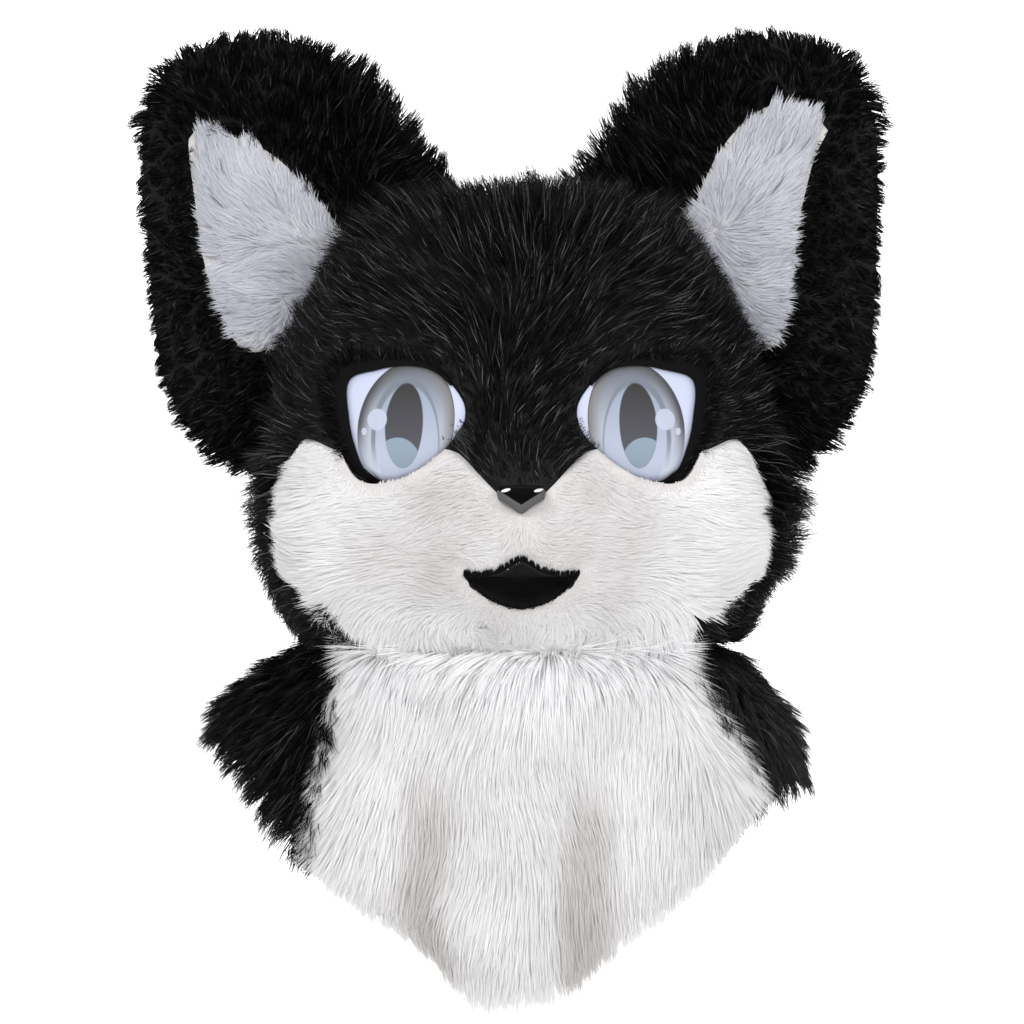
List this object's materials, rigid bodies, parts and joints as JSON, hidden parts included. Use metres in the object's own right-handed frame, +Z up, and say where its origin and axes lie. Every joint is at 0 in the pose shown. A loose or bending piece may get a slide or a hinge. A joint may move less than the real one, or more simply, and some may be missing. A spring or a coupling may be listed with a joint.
{
  "type": "costume head",
  "caption": "Hollow plush animal head worn as a costume: foam base under a black fur hood, white face, cupped ears and domed eyes, with a fur bib and cape for the shoulders.",
  "frame": {"origin": "inside of the crown of the foam base, where it rests on the wearer's head, on the upright axis of the head", "axes": "+Z up, -Y the way the face looks, +X to the right of someone who looks at the face"},
  "size_m": [0.4431, 0.3341, 0.5503],
  "materials": {
    "foam": "dark knit glued over open-cell foam",
    "black_fur": "long-pile acrylic fur, black",
    "white_fur": "acrylic fur, white",
    "eye_print": "fine printed mesh on a domed plate, satin",
    "lid_cloth": "smooth black minky cloth",
    "nose_resin": "cast resin with a bevelled rim",
    "mouth_pile": "short black pile"
  },
  "bodies": {
    "root": {"head_base": "foam", "hood": "black_fur", "face": "white_fur", "ear_left": "black_fur", "ear_right": "black_fur", "ear_lining_left": "white_fur", "ear_lining_right": "white_fur", "eye_left": "eye_print", "eye_right": "eye_print", "eyelid_left": "lid_cloth", "eyelid_right": "lid_cloth", "nose": "nose_resin", "mouth_pocket": "mouth_pile", "bib": "white_fur", "cape": "black_fur"}
  },
  "joints": []
}
